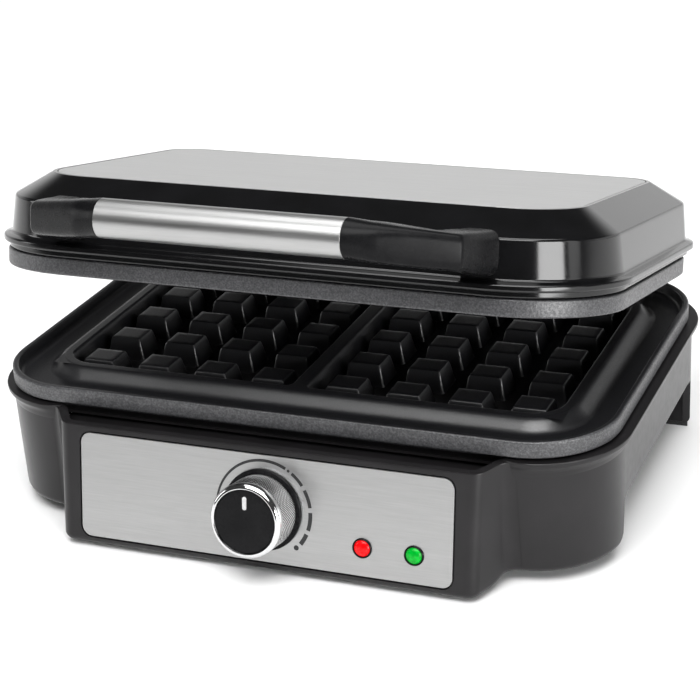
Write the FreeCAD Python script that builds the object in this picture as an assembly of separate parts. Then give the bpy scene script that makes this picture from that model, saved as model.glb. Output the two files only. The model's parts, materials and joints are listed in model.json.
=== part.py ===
import FreeCAD, Part
import math
import os

# Twin Belgian waffle maker, millimetres.
# Frame: origin on the table under the middle of the whole object, X to the
# right, Y to the back, Z up. The knob and the handle face -Y.
# Shapes are drawn with Y = 0 in the middle of the cooking plates and moved at the
# end. Lid parts are drawn shut and turned to the part-open rest pose at the end.

V = FreeCAD.Vector
X_AXIS = V(1, 0, 0)
Y_AXIS = V(0, 1, 0)
Z_AXIS = V(0, 0, 1)
SIDES = (-1, 1)

# ---- driving dimensions -------------------------------------------------
PARTING_Z = 63.0            # rim of the lower plate, where the plates meet
PLATE_GAP = 0.4             # left between the two rims when the lid is shut
PLATE_Y = 91.0              # half depth of both cooking plates
LOWER_PLATE_X = 136.5       # half width
LOWER_PLATE_R = 35.0        # plan radius of the corners
UPPER_PLATE_X = 135.8
UPPER_PLATE_R = 43.0
RIM_HEIGHT = 7.2
RIM_WIDTH = 2.8

HINGE_Y = 129.0
HINGE_Z = 78.8
REST_OPENING = 13.1         # degrees between the shut lid and the rest pose
MIDDLE_Y = 4.8              # middle of the whole object's depth, from the plates' middle

WALL = 2.6                  # plastic wall thickness

BASE_FOOT_Z = 2.0           # underside of the console and of the rear legs
LOBE_FOOT_Z = 4.8           # underside of the rounded front corners
ARCH_Z = 23.6               # underside of the raised middle of the base
ARCH_FRONT_Y = -55.0
ARCH_REAR_Y = 66.0
BASE_TOP_X = 137.5          # half width under the lip
BASE_FOOT_X = 136.9         # half width at the table: the walls taper a little
BASE_TOP_FRONT = -91.5
BASE_FOOT_FRONT = -90.6
BASE_REAR = 94.5
BASE_R = 36.0
LIP_X = 140.5
LIP_FRONT = -93.0
LIP_REAR = 96.0
LIP_Z = 54.8
LIP_BAND = 2.2

CONSOLE_X = 91.5            # half width of the console block
CONSOLE_TOP_Z = 53.2
CONSOLE_FLANK = 8.5         # how far the flanks spread towards the body
CONSOLE_R = 6.0

PANEL_X = 82.6              # half width of the steel control panel
PANEL_FOOT_Y = -112.1
PANEL_FOOT_Z = 5.9
PANEL_HEIGHT = 45.1         # along the lean
PANEL_LEAN = 11.0           # degrees from the vertical
PANEL_R = 4.5
PANEL_T = 1.0
KNOB_X = 1.0
KNOB_UP = 22.1              # knob centre above the panel's lower edge
KNOB_R = 15.5
KNOB_DEPTH = 18.0
SHAFT_R = 3.0
LAMP_X = (44.5, 66.5)       # ready lamp, power lamp
LAMP_UP = 11.8
LAMP_R = 3.9

LID_TOP_Z = 102.5
LID_WALL_TOP_Z = 93.2
LID_WALL_FOOT_Z = 77.4
LID_BEAD_Z = 75.3
LID_FOOT_Z = 71.1
LID_X = 132.3
LID_FRONT = -90.5
LID_REAR = 89.0
LID_FRONT_R = 42.0
LID_REAR_R = 30.0
LID_PANEL_X = 116.2
LID_PANEL_FRONT = -69.1
LID_PANEL_REAR = 66.7
LID_PANEL_FRONT_R = 24.0
LID_PANEL_REAR_R = 13.0
LID_PANEL_T = 1.0
LID_PANEL_GAP = 0.6
LID_LAND = 2.0              # flat land between the steel panel and the bevel

HANDLE_Y = -130.1           # axis of the handle bar, lid shut
HANDLE_Z = 94.6
HANDLE_R = 7.8
HANDLE_TUBE_X = 51.0        # half length of the steel tube that shows
GRIP_CORNER = (91.0, -116.7)        # outer front corner of a grip, in plan
GRIP_WALL_X = (80.0, 96.6)  # where its arm meets the lid wall
GRIP_CORNER_Z = (83.2, 97.4)
GRIP_WALL_Z = (78.6, 96.4)

CAVITY_X0 = 3.5             # each waffle cavity, measured from the middle
CAVITY_X1 = 112.0
CAVITY_Y = 63.0
CAVITY_R = 13.0
CAVITY_DEPTH = 13.0
CAVITY_DRAFT = 2.5
STUD_ROWS = 5
STUD_COLUMNS = 4
STUD_FOOT = (19.5, 17.5)
STUD_TOP = (14.0, 12.5)
STUD_CLEAR = 2.0            # stud tops below the parting plane
TROUGH_DEPTH = 5.5
BEAD_FOOT = 9.0             # raised bead round the cavities: width of its foot
BEAD_TOP = 3.5
PLATE_T = 3.0
PLATE_STEP = 6.6            # the back of a plate stands this far inside its rim

HEATER_R = 3.2
PIN_R = 3.0
FIT = 0.05                  # radial clearance of a running fit


# ---- helpers ------------------------------------------------------------
def box(x0, x1, y0, y1, z0, z1):
    return Part.makeBox(x1 - x0, y1 - y0, z1 - z0, V(x0, y0, z0))


def cylinder(radius, start, end):
    axis = end.sub(start)
    return Part.makeCylinder(radius, axis.Length, start, axis)


def rounded_wire(points, radii, z):
    """Closed outline at height z; every corner is a tangent arc."""
    count = len(points)
    corners = []
    for i in range(count):
        here = V(points[i][0], points[i][1], z)
        back = V(points[i - 1][0], points[i - 1][1], z).sub(here)
        ahead = V(points[(i + 1) % count][0], points[(i + 1) % count][1], z).sub(here)
        half_angle = back.getAngle(ahead) / 2
        reach = radii[i] / math.tan(half_angle)
        back.normalize()
        ahead.normalize()
        middle = back.add(ahead).normalize()
        to_centre = radii[i] / math.sin(half_angle)
        corners.append((here.add(back * reach),
                        here.add(middle * (to_centre - radii[i])),
                        here.add(ahead * reach)))
    edges = []
    for i, (start, mid, end) in enumerate(corners):
        edges.append(Part.Arc(start, mid, end).toShape())
        edges.append(Part.LineSegment(end, corners[(i + 1) % count][0]).toShape())
    return Part.Wire(edges)


def rectangle(half_x, y0, y1, radius, z, rear_radius=None):
    points = [(-half_x, y0), (half_x, y0), (half_x, y1), (-half_x, y1)]
    rear = radius if rear_radius is None else rear_radius
    return rounded_wire(points, [radius, radius, rear, rear], z)


def prism(wire, height):
    return Part.Face(wire).extrude(V(0, 0, height))


def block(half_x, y0, y1, radius, z0, z1, rear_radius=None):
    return prism(rectangle(half_x, y0, y1, radius, z0, rear_radius), z1 - z0)


def loft(wires):
    return Part.makeLoft(list(wires), True, True)


def fuse(shapes):
    shapes = list(shapes)
    return shapes[0].fuse(shapes[1:]).removeSplitter()


def side_profile(points, x0, x1):
    """Prism along X of an outline given as (y, z) points."""
    corners = [V(x0, y, z) for y, z in points]
    face = Part.Face(Part.makePolygon(corners + corners[:1]))
    return face.extrude(V(x1 - x0, 0, 0))


def on_panel(shape):
    """Moves a shape from panel coordinates (right, up the lean, outwards)."""
    place = FreeCAD.Placement(V(0, PANEL_FOOT_Y, PANEL_FOOT_Z),
                              FreeCAD.Rotation(X_AXIS, 90 - PANEL_LEAN))
    moved = shape.copy()
    moved.Placement = place.multiply(moved.Placement)
    return moved


def panel_disc(x, up, radius, w0, w1):
    return Part.makeCylinder(radius, w1 - w0, V(x, up, w0))


def mirrored(shape):
    return shape.mirror(V(0, 0, 0), X_AXIS)


def console_front(z):
    return PANEL_FOOT_Y + (z - PANEL_FOOT_Z) * math.tan(math.radians(PANEL_LEAN))


def base_outline(z, inset):
    """Plan of the base at height z: rounded body with the console block in front."""
    rise = (z - BASE_FOOT_Z) / (LIP_Z - BASE_FOOT_Z)
    half_x = BASE_FOOT_X + (BASE_TOP_X - BASE_FOOT_X) * rise - inset
    front = BASE_FOOT_FRONT + (BASE_TOP_FRONT - BASE_FOOT_FRONT) * rise + inset
    face = console_front(z) + inset
    console = CONSOLE_X - inset * 0.7
    rear = BASE_REAR - inset
    right = [(console, face), (console + CONSOLE_FLANK, front), (half_x, front), (half_x, rear)]
    left = [(-x, y) for x, y in reversed(right)]
    corner = BASE_R - inset
    right_radii = [CONSOLE_R, CONSOLE_R, corner, corner]
    return rounded_wire(right + left, right_radii + right_radii[::-1], z)


def cooking_plate(half_x, corner):
    """One cooking plate with its rim in the plane Z = 0 and its back below."""
    back = CAVITY_DEPTH + PLATE_T
    body = fuse([
        block(half_x, -PLATE_Y, PLATE_Y, corner, -RIM_HEIGHT, 0),
        block(half_x - PLATE_STEP, PLATE_STEP - PLATE_Y, PLATE_Y - PLATE_STEP, corner - PLATE_STEP,
              -TROUGH_DEPTH - PLATE_T, -TROUGH_DEPTH),
        block(CAVITY_X1 + 1.5, -CAVITY_Y - 1.5, CAVITY_Y + 1.5, CAVITY_R, -back, -TROUGH_DEPTH)])
    trough = block(half_x - RIM_WIDTH, RIM_WIDTH - PLATE_Y, PLATE_Y - RIM_WIDTH,
                   corner - RIM_WIDTH, -TROUGH_DEPTH, 1)
    bead = loft([
        rectangle(CAVITY_X1 + BEAD_FOOT, -CAVITY_Y - BEAD_FOOT, CAVITY_Y + BEAD_FOOT,
                  CAVITY_R + BEAD_FOOT, -TROUGH_DEPTH),
        rectangle(CAVITY_X1 + BEAD_TOP, -CAVITY_Y - BEAD_TOP, CAVITY_Y + BEAD_TOP,
                  CAVITY_R + BEAD_TOP, -0.4)])
    body = body.cut(trough).fuse(bead)
    for side in SIDES:
        body = body.cut(cavity(side)).fuse(studs(side))
    return body.removeSplitter()


def cavity(side):
    wires = []
    for z, grow in ((0.5, 0.0), (-CAVITY_DEPTH, -CAVITY_DRAFT)):
        x0 = side * (CAVITY_X0 - grow)
        x1 = side * (CAVITY_X1 + grow)
        y1 = CAVITY_Y + grow
        points = [(x0, -y1), (x1, -y1), (x1, y1), (x0, y1)]
        inner = 3.0
        radii = [inner, CAVITY_R + grow, CAVITY_R + grow, inner]
        wires.append(rounded_wire(points, radii, z))
    return loft(wires)


def studs(side):
    pitch_x = (CAVITY_X1 - CAVITY_X0) / STUD_COLUMNS
    pitch_y = 2 * CAVITY_Y / STUD_ROWS
    shapes = []
    for column in range(STUD_COLUMNS):
        for row in range(STUD_ROWS):
            x = side * (CAVITY_X0 + (column + 0.5) * pitch_x)
            y = -CAVITY_Y + (row + 0.5) * pitch_y
            wires = []
            for z, size in ((-CAVITY_DEPTH - 0.2, STUD_FOOT), (-STUD_CLEAR, STUD_TOP)):
                a, b = size[0] / 2, size[1] / 2
                corners = [(x - a, y - b), (x + a, y - b), (x + a, y + b), (x - a, y + b)]
                wires.append(rounded_wire(corners, [1.5] * 4, z))
            shapes.append(loft(wires))
    return shapes


def heater(z):
    """Tubular element bent once round both cavities, ends at the back."""
    half_x, front, rear, bend = 84.0, -46.0, 74.0, 22.0
    diagonal = bend * (1 - math.sqrt(0.5))
    path = Part.Wire([
        Part.LineSegment(V(-half_x, rear, z), V(-half_x, front + bend, z)).toShape(),
        Part.Arc(V(-half_x, front + bend, z), V(-half_x + diagonal, front + diagonal, z),
                 V(-half_x + bend, front, z)).toShape(),
        Part.LineSegment(V(-half_x + bend, front, z), V(half_x - bend, front, z)).toShape(),
        Part.Arc(V(half_x - bend, front, z), V(half_x - diagonal, front + diagonal, z),
                 V(half_x, front + bend, z)).toShape(),
        Part.LineSegment(V(half_x, front + bend, z), V(half_x, rear, z)).toShape()])
    section = Part.Wire(Part.makeCircle(HEATER_R, V(-half_x, rear, z), Y_AXIS))
    return path.makePipeShell([section], True, False)


def heat_shield(floor, up):
    """Sheet pan behind a heater; up is +1 for an open top, -1 for an open bottom."""
    sheet, depth = 0.8, 12.0
    z0, z1 = sorted((floor, floor + up * depth))
    outer = block(112.0, -62.0, 80.0, 12.0, z0, z1)
    c0, c1 = (z0 + sheet, z1 + 1) if up > 0 else (z0 - 1, z1 - sheet)
    return outer.cut(block(112.0 - sheet, sheet - 62.0, 80.0 - sheet, 12.0 - sheet, c0, c1))


def screw(x, y, z0, z1, radius):
    """Pan-head screw with its head at z0 and its tip at z1."""
    turn = 1 if z1 > z0 else -1
    head = cylinder(radius * 2, V(x, y, z0), V(x, y, z0 + turn * radius))
    return head.fuse(cylinder(radius, V(x, y, z0 + turn * radius), V(x, y, z1)))


# ---- base ---------------------------------------------------------------
PLATE_POSTS = [(x, y) for x in (-122.0, 122.0) for y in (-44.0, 44.0)]
POST_TOP_Z = PARTING_Z - TROUGH_DEPTH - PLATE_T


def rear_leg(outer, inner):
    shell = outer.common(box(110, 150, ARCH_REAR_Y, 110, BASE_FOOT_Z, ARCH_Z + 4))
    hollow = inner.common(box(110 + WALL, 150, ARCH_REAR_Y + WALL, 110, 0, ARCH_Z + 5))
    return shell.cut(hollow)


def base_housing():
    outer = loft([base_outline(BASE_FOOT_Z, 0), base_outline(LIP_Z - LIP_BAND, 0)])
    inner = loft([base_outline(BASE_FOOT_Z - 2, WALL), base_outline(LIP_Z + 2, WALL)])
    console = loft([base_outline(LIP_Z - LIP_BAND, 0), base_outline(CONSOLE_TOP_Z, 0)])
    console = console.common(box(-97, 97, -130, -85, 40, 60))
    lip = loft([rectangle(BASE_TOP_X, BASE_TOP_FRONT, BASE_REAR, BASE_R, LIP_Z - 4.5),
                rectangle(LIP_X, LIP_FRONT, LIP_REAR, BASE_R + 1.5, LIP_Z - LIP_BAND)])
    lip = lip.fuse(block(LIP_X, LIP_FRONT, LIP_REAR, BASE_R + 1.5, LIP_Z - LIP_BAND, LIP_Z))
    lip = lip.cut(box(-98, 98, -100, -60, 40, 60))
    shell = outer.fuse([console, lip]).cut(inner)
    under_lobes = [box(side * 99 if side > 0 else -150, 150 if side > 0 else -99,
                       -130, ARCH_FRONT_Y, 0, LOBE_FOOT_Z) for side in SIDES]
    under_body = box(-150, 150, ARCH_FRONT_Y, ARCH_REAR_Y, 0, ARCH_Z)
    under_rear = box(-110, 110, ARCH_REAR_Y - 5, 110, 0, ARCH_Z)
    shell = shell.cut(under_lobes + [under_body, under_rear])
    shelf = prism(base_outline(46, 1.0), 2.4).common(box(-97, 97, -130, -84, 40, 60))
    leg = rear_leg(outer, inner)
    posts = []
    for x, y in PLATE_POSTS:
        posts.append(cylinder(5.0, V(x, y, ARCH_Z + 2), V(x, y, POST_TOP_Z)))
        side = 1 if x > 0 else -1
        x0, x1 = sorted((x, side * (BASE_FOOT_X - 0.5)))
        posts.append(box(x0, x1, y - 1.2, y + 1.2, ARCH_Z + 3, POST_TOP_Z - 4))
    housing = shell.fuse([shelf, leg, mirrored(leg)] + posts)
    recess = block(PANEL_X + 0.7, -0.7, PANEL_HEIGHT + 0.7, PANEL_R + 0.7, -PANEL_T, 5)
    holes = [panel_disc(KNOB_X, KNOB_UP, 7.0, -20, 5)]
    holes += [panel_disc(x, LAMP_UP, LAMP_R - 0.6, -20, 5) for x in LAMP_X]
    housing = housing.cut([on_panel(recess)] + [on_panel(hole) for hole in holes])
    for x, y in PLATE_POSTS:
        housing = housing.cut(cylinder(1.6, V(x, y, ARCH_Z), V(x, y, POST_TOP_Z + 1)))
    housing = housing.cut(cylinder(GLAND_R + FIT, V(GLAND_X, 80, GLAND_Z), V(GLAND_X, 110, GLAND_Z)))
    return housing.removeSplitter()


def bottom_cover():
    """Stepped closing plate: low under the console, high under the plates."""
    gap, sheet = WALL + 0.35, 2.0
    high_z = ARCH_Z + 0.6
    low_z = LOBE_FOOT_Z + 0.6
    outline = loft([base_outline(0, gap), base_outline(40, gap)])
    high = outline.common(box(-150, 150, ARCH_FRONT_Y, 110, high_z, high_z + sheet))
    low = outline.common(box(-150, 150, -130, ARCH_FRONT_Y, low_z, low_z + sheet))
    step = outline.common(box(-150, 150, ARCH_FRONT_Y - sheet, ARCH_FRONT_Y,
                              low_z, high_z + sheet))
    cover = fuse([high, low, step])
    for row in range(4):
        for column in range(-5, 6):
            x, y = column * 15.0, -30 + row * 18.0
            cover = cover.cut(box(x - 4.5, x + 4.5, y - 1.2, y + 1.2, high_z - 1, high_z + 3))
    for x, y in PLATE_POSTS:
        cover = cover.cut(cylinder(5.4, V(x, y, high_z - 1), V(x, y, high_z + 4)))
    for x, y in COVER_SCREWS:
        cover = cover.cut(cylinder(1.7, V(x, y, high_z - 1), V(x, y, high_z + 3)))
    for side in SIDES:
        leg = box(108, 150, ARCH_REAR_Y - 2, 110, high_z - 1, high_z + 4)
        cover = cover.cut(leg if side > 0 else mirrored(leg))
    return cover


GLAND_X, GLAND_Z, GLAND_R = -70.0, 38.0, 6.5
COVER_SCREWS = [(x, y) for x in (-90.0, 90.0) for y in (-46.0, 58.0)]


def cover_screws():
    return Part.makeCompound([screw(x, y, ARCH_Z - 1.0, 35.0, 1.5) for x, y in COVER_SCREWS])


def cover_pillars():
    """Moulded pillars between the bottom cover and the heat shield."""
    pillars = []
    for x, y in COVER_SCREWS:
        tube = cylinder(4.0, V(x, y, ARCH_Z + 2.6), V(x, y, 34.4))
        pillars.append(tube.cut(cylinder(1.55, V(x, y, 20), V(x, y, 40))))
    return Part.makeCompound(pillars)


def plate_screws():
    return Part.makeCompound([screw(x, y, ARCH_Z + 0.4, POST_TOP_Z + 2.0, 1.5)
                              for x, y in PLATE_POSTS])


def front_foot(side):
    return block(9.0, -6.0, 6.0, 3.0, 0, BASE_FOOT_Z + 3.2).translated(V(side * 70.0, -94.0, 0))


def rear_foot():
    """Right-hand rear foot: a pad under the hollow leg and a stem that plugs into it."""
    clear = WALL + 0.3
    pad = prism(base_outline(BASE_FOOT_Z, 1.0).translated(V(0, 0, -BASE_FOOT_Z)), BASE_FOOT_Z)
    stem = prism(base_outline(BASE_FOOT_Z, clear), 10.0)
    return fuse([pad.common(box(111, 150, ARCH_REAR_Y + 1, 110, 0, BASE_FOOT_Z)),
                 stem.common(box(110 + clear, 150, ARCH_REAR_Y + clear, 110, BASE_FOOT_Z, 12.0))])


def cord_gland():
    """Moulded bush in the rear wall where a mains lead would enter."""
    back = BASE_REAR
    flange = cylinder(9.0, V(GLAND_X, back + 0.05, GLAND_Z), V(GLAND_X, back + 3.0, GLAND_Z))
    barrel = cylinder(GLAND_R, V(GLAND_X, back - 8, GLAND_Z), V(GLAND_X, back + 0.05, GLAND_Z))
    bore = cylinder(3.6, V(GLAND_X, back - 10, GLAND_Z), V(GLAND_X, back + 5, GLAND_Z))
    return flange.fuse(barrel).cut(bore)


# ---- console ------------------------------------------------------------
def control_panel():
    plate = block(PANEL_X, 0, PANEL_HEIGHT, PANEL_R, -PANEL_T, 0)
    cuts = [panel_disc(KNOB_X, KNOB_UP, 7.0, -2, 1)]
    cuts += [panel_disc(x, LAMP_UP, LAMP_R - 0.6, -2, 1) for x in LAMP_X]
    return on_panel(plate.cut(cuts))


def ring(x, up, outer, inner, w0, w1):
    return panel_disc(x, up, outer, w0, w1).cut(panel_disc(x, up, inner, w0 - 1, w1 + 1))


def knob_base_ring():
    return on_panel(ring(KNOB_X, KNOB_UP, KNOB_R + 1.6, 6.9, 0, 1.2))


def knob_body():
    """Knurled skirt with a socket for the thermostat shaft."""
    skirt = panel_disc(KNOB_X, KNOB_UP, KNOB_R, 1.7, 12.2)
    ridges = 60
    grooves = []
    for i in range(ridges):
        angle = 2 * math.pi * i / ridges
        grooves.append(Part.makeCylinder(0.35, 12, V(KNOB_X + (KNOB_R + 0.1) * math.cos(angle),
                                                     KNOB_UP + (KNOB_R + 0.1) * math.sin(angle), 1)))
    hollow = panel_disc(KNOB_X, KNOB_UP, KNOB_R - 2.5, 0, 9.0)
    hub = panel_disc(KNOB_X, KNOB_UP, 5.5, 1.7, 10.0)
    socket = panel_disc(KNOB_X, KNOB_UP, SHAFT_R, 0, 10.5)
    return on_panel(skirt.cut(grooves).cut(hollow).fuse(hub).cut(socket))


def knob_bezel():
    body = panel_disc(KNOB_X, KNOB_UP, KNOB_R, 12.8, 15.8)
    taper = Part.makeCone(KNOB_R, 13.2, KNOB_DEPTH - 15.8, V(KNOB_X, KNOB_UP, 15.8))
    step = panel_disc(KNOB_X, KNOB_UP, KNOB_R - 1.0, 12.2, 12.8)
    return on_panel(body.fuse([taper, step]).cut(panel_disc(KNOB_X, KNOB_UP, 12.3, 12, 20)))


def knob_cap():
    return on_panel(panel_disc(KNOB_X, KNOB_UP, 12.25, 12.2, KNOB_DEPTH - 0.2)
                    .cut(box(KNOB_X - 0.8, KNOB_X + 0.8, KNOB_UP + 4.6, KNOB_UP + 10.4,
                             KNOB_DEPTH - 0.8, 20)))


def knob_pointer():
    return on_panel(box(KNOB_X - 0.75, KNOB_X + 0.75, KNOB_UP + 4.7, KNOB_UP + 10.3,
                        KNOB_DEPTH - 0.8, KNOB_DEPTH - 0.1))


def thermostat_shaft():
    return on_panel(panel_disc(KNOB_X, KNOB_UP, SHAFT_R - FIT, -9.0, 10.0))


def thermostat():
    can = panel_disc(KNOB_X, KNOB_UP, 12.0, -20.0, -9.0)
    bush = panel_disc(KNOB_X, KNOB_UP, 5.5, -9.0, -PANEL_T - WALL)
    bore = panel_disc(KNOB_X, KNOB_UP, SHAFT_R, -9.0, 0)
    tabs = box(KNOB_X - 16, KNOB_X + 16, KNOB_UP - 4, KNOB_UP + 4, -11.0, -9.6)
    return on_panel(can.fuse([bush, tabs]).cut(bore))


def lamp_lens(x):
    dome = Part.makeSphere(6.0, V(x, LAMP_UP, -4.6))
    dome = dome.common(panel_disc(x, LAMP_UP, LAMP_R - 0.8, 0.4, 3))
    return on_panel(panel_disc(x, LAMP_UP, LAMP_R - 0.8, -6.0, 0.4).fuse(dome))


def lamp_bezels():
    return Part.makeCompound([on_panel(ring(x, LAMP_UP, LAMP_R, LAMP_R - 0.7, 0, 0.9)) for x in LAMP_X])


def lamp_holders():
    return Part.makeCompound([on_panel(panel_disc(x, LAMP_UP, 5.0, -16.0, -6.0)) for x in LAMP_X])


def terminal_block():
    body = box(-92, -52, 40, 54, ARCH_Z + 2.7, ARCH_Z + 8.5)
    ways = [cylinder(1.6, V(-85 + 13 * i, 38, 31), V(-85 + 13 * i, 56, 31)) for i in range(3)]
    return body.cut(ways)


def thermal_fuse():
    return cylinder(2.5, V(18, -30, 40.5), V(46, -30, 40.5))


# ---- hinge --------------------------------------------------------------
EAR_X = (82.0, 88.0, 106.0, 112.0)      # two base ears, the lid arm between
PIN_BEYOND = 1.0


def hinge_bracket():
    ear = side_profile([(BASE_REAR + 1.7, 31), (BASE_REAR + 1.7, 50), (121.5, 83.2),
                        (136.5, 74.4), (118, 42), (106, 31)], EAR_X[0], EAR_X[1])
    eye = cylinder(8.7, V(EAR_X[0], HINGE_Y, HINGE_Z), V(EAR_X[1], HINGE_Y, HINGE_Z))
    other = V(EAR_X[2] - EAR_X[0], 0, 0)
    foot = box(EAR_X[0], EAR_X[3], BASE_REAR + 0.05, BASE_REAR + 4, 31, 49.5)
    parts = [ear, eye, ear.translated(other), eye.translated(other), foot]
    bore = cylinder(PIN_R, V(EAR_X[0] - 8, HINGE_Y, HINGE_Z), V(EAR_X[3] + 7, HINGE_Y, HINGE_Z))
    return fuse(parts).cut(bore)


def bracket_screws():
    shapes = []
    for side in SIDES:
        for z in (36.0, 44.0):
            x = side * (EAR_X[1] + EAR_X[2]) / 2
            head = cylinder(3.0, V(x, BASE_REAR + 5.5, z), V(x, BASE_REAR + 4.0, z))
            shapes.append(head.fuse(cylinder(1.5, V(x, BASE_REAR + 4.0, z), V(x, BASE_REAR - 4, z))))
    return Part.makeCompound(shapes)


def hinge_arm():
    x0, x1 = EAR_X[1] + 0.6, EAR_X[2] - 0.6
    arm = side_profile([(LID_REAR + 0.9, 79.2), (LID_REAR + 0.9, 93.2), (129.5, 87.4), (126, 70.7)], x0, x1)
    eye = cylinder(8.4, V(x0, HINGE_Y, HINGE_Z), V(x1, HINGE_Y, HINGE_Z))
    bore = cylinder(PIN_R + FIT, V(EAR_X[0] - 8, HINGE_Y, HINGE_Z), V(EAR_X[3] + 7, HINGE_Y, HINGE_Z))
    return arm.fuse(eye).cut(bore)


def hinge_pins():
    pins = []
    for side in SIDES:
        inner, outer = side * (EAR_X[0] - PIN_BEYOND), side * (EAR_X[3] + PIN_BEYOND)
        shank = cylinder(PIN_R - 0.005, V(inner, HINGE_Y, HINGE_Z), V(outer, HINGE_Y, HINGE_Z))
        head = cylinder(4.8, V(side * (EAR_X[3] + 0.05), HINGE_Y, HINGE_Z), V(outer + side * 1.5, HINGE_Y, HINGE_Z))
        clip = cylinder(4.2, V(inner - side * 0.5, HINGE_Y, HINGE_Z), V(side * (EAR_X[0] - 0.05), HINGE_Y, HINGE_Z))
        pins.append(fuse([shank, head, clip]))
    return Part.makeCompound(pins)


# ---- lid (drawn shut) ---------------------------------------------------
def lid_wire(z, grow, front_grow, rear_radius_grow=0.0):
    """Outline of the lid shell at height z, grown sideways and at front and back."""
    return rectangle(LID_X + grow, LID_FRONT - front_grow, LID_REAR + front_grow,
                     LID_FRONT_R + grow, z, LID_REAR_R + grow + rear_radius_grow)


def panel_wire(z, grow):
    return rectangle(LID_PANEL_X + grow, LID_PANEL_FRONT - grow, LID_PANEL_REAR + grow,
                     LID_PANEL_FRONT_R + grow, z, LID_PANEL_REAR_R + grow)


def lid_outside():
    wires = [lid_wire(LID_FOOT_Z, 3.0, 1.8),
             lid_wire(LID_BEAD_Z - 1.9, 3.0, 1.8),
             lid_wire(LID_BEAD_Z - 1.5, 5.5, 4.3),
             lid_wire(LID_BEAD_Z + 1.2, 5.5, 4.3),
             lid_wire(LID_WALL_FOOT_Z, 2.0, 0.8),
             lid_wire(LID_WALL_TOP_Z, 0.0, 0.0),
             panel_wire(LID_TOP_Z, LID_LAND)]
    return fuse([loft(pair) for pair in zip(wires, wires[1:])])


def lid_inside():
    """Hollow of the lid shell."""
    shoulder = LID_WALL_TOP_Z - 1.5
    wires = [lid_wire(LID_FOOT_Z - 1, -WALL, -WALL), lid_wire(shoulder, -WALL, -WALL),
             panel_wire(LID_TOP_Z - 3.2, -3.0)]
    return fuse([loft(pair) for pair in zip(wires, wires[1:])])


def lid_housing():
    gap = LID_PANEL_GAP
    recess = prism(panel_wire(LID_TOP_Z - LID_PANEL_T, gap), LID_PANEL_T + 1)
    shell = lid_outside().cut([lid_inside(), recess])
    for x, z in HANDLE_SCREWS:
        shell = shell.cut(cylinder(2.1, V(x, LID_FRONT - 5, z), V(x, LID_FRONT + WALL + 3, z)))
    return shell.removeSplitter()


def lid_top_panel():
    return prism(panel_wire(LID_TOP_Z - LID_PANEL_T, 0.0), LID_PANEL_T)


def lid_posts():
    """Posts from the back of the upper plate to the underside of the lid's bevel."""
    foot_z = PARTING_Z + PLATE_GAP + TROUGH_DEPTH + PLATE_T
    posts = []
    for x, y in PLATE_POSTS:
        tube = cylinder(4.5, V(x, y, foot_z), V(x, y, LID_TOP_Z))
        posts.append(tube.cut(cylinder(1.55, V(x, y, foot_z - 1), V(x, y, 88))))
    return Part.makeCompound([post.common(lid_inside()) for post in posts])


def lid_plate_screws():
    low = PARTING_Z + PLATE_GAP + TROUGH_DEPTH - 1.5
    return Part.makeCompound([screw(x, y, low, 86.0, 1.5) for x, y in PLATE_POSTS])


HANDLE_SCREWS = [(side * x, 88.0) for side in SIDES for x in (83.2, 89.4)]


def handle_tube():
    ends = [V(x, HANDLE_Y, HANDLE_Z) for x in (-HANDLE_TUBE_X, HANDLE_TUBE_X)]
    return cylinder(HANDLE_R, *ends).cut(cylinder(HANDLE_R - 1.0, *ends))


def grip_section(x, y, z, half_y, half_z, corner):
    """Rounded-square section of a grip, centred on (x, y, z), in a plane of constant X."""
    points = [(-half_y, -half_z), (half_y, -half_z), (half_y, half_z), (-half_y, half_z)]
    flat = rounded_wire(points, [corner] * 4, 0)
    flat.Placement = FreeCAD.Placement(V(x, y, z), FreeCAD.Rotation(Y_AXIS, Z_AXIS, X_AXIS, "ZXY"))
    return flat


def handle_grip():
    """Right-hand grip: it sweeps back from the tube, then turns into the lid's front wall."""
    corner_x, corner_y = GRIP_CORNER
    low, high = GRIP_CORNER_Z
    bar = loft([
        grip_section(HANDLE_TUBE_X, HANDLE_Y, HANDLE_Z, HANDLE_R, HANDLE_R, HANDLE_R - 0.2),
        grip_section(61.0, HANDLE_Y + 4.0, HANDLE_Z - 1.1, 7.8, 7.6, 6.0),
        grip_section(75.0, HANDLE_Y + 10.9, HANDLE_Z - 2.6, 7.6, 7.3, 4.5),
        grip_section(corner_x - 1.5, corner_y + 6.3, (low + high) / 2, 7.0, (high - low) / 2, 3.0)])
    wall_y = LID_FRONT - 1.3
    side = side_profile([(corner_y - 3, low + 3), (corner_y + 3, low), (wall_y, GRIP_WALL_Z[0]),
                         (wall_y, GRIP_WALL_Z[1]), (corner_y, high), (corner_y - 3, high - 2)], 60, 110)
    plan = [(76.0, corner_y + 3.5), (corner_x, corner_y), (GRIP_WALL_X[1], wall_y), (GRIP_WALL_X[0], wall_y)]
    arm = side.common(prism(rounded_wire(plan, [1.5, 1.5, 0.5, 0.5], 70.0), 40.0))
    grip = bar.fuse(arm)
    grip = grip.cut(cylinder(HANDLE_CORE_R, V(0, HANDLE_Y, HANDLE_Z), V(HANDLE_CORE_X, HANDLE_Y, HANDLE_Z)))
    for x, z in HANDLE_SCREWS:
        grip = grip.cut(cylinder(1.5, V(x, LID_FRONT - SCREW_REACH - 1, z), V(x, LID_FRONT, z)))
    return grip


HANDLE_CORE_R = 4.0
HANDLE_CORE_X = 58.0
SCREW_REACH = 15.0


def handle_core():
    """Steel rod through the tube that carries both grips."""
    return cylinder(HANDLE_CORE_R, V(-HANDLE_CORE_X, HANDLE_Y, HANDLE_Z),
                    V(HANDLE_CORE_X, HANDLE_Y, HANDLE_Z))


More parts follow.
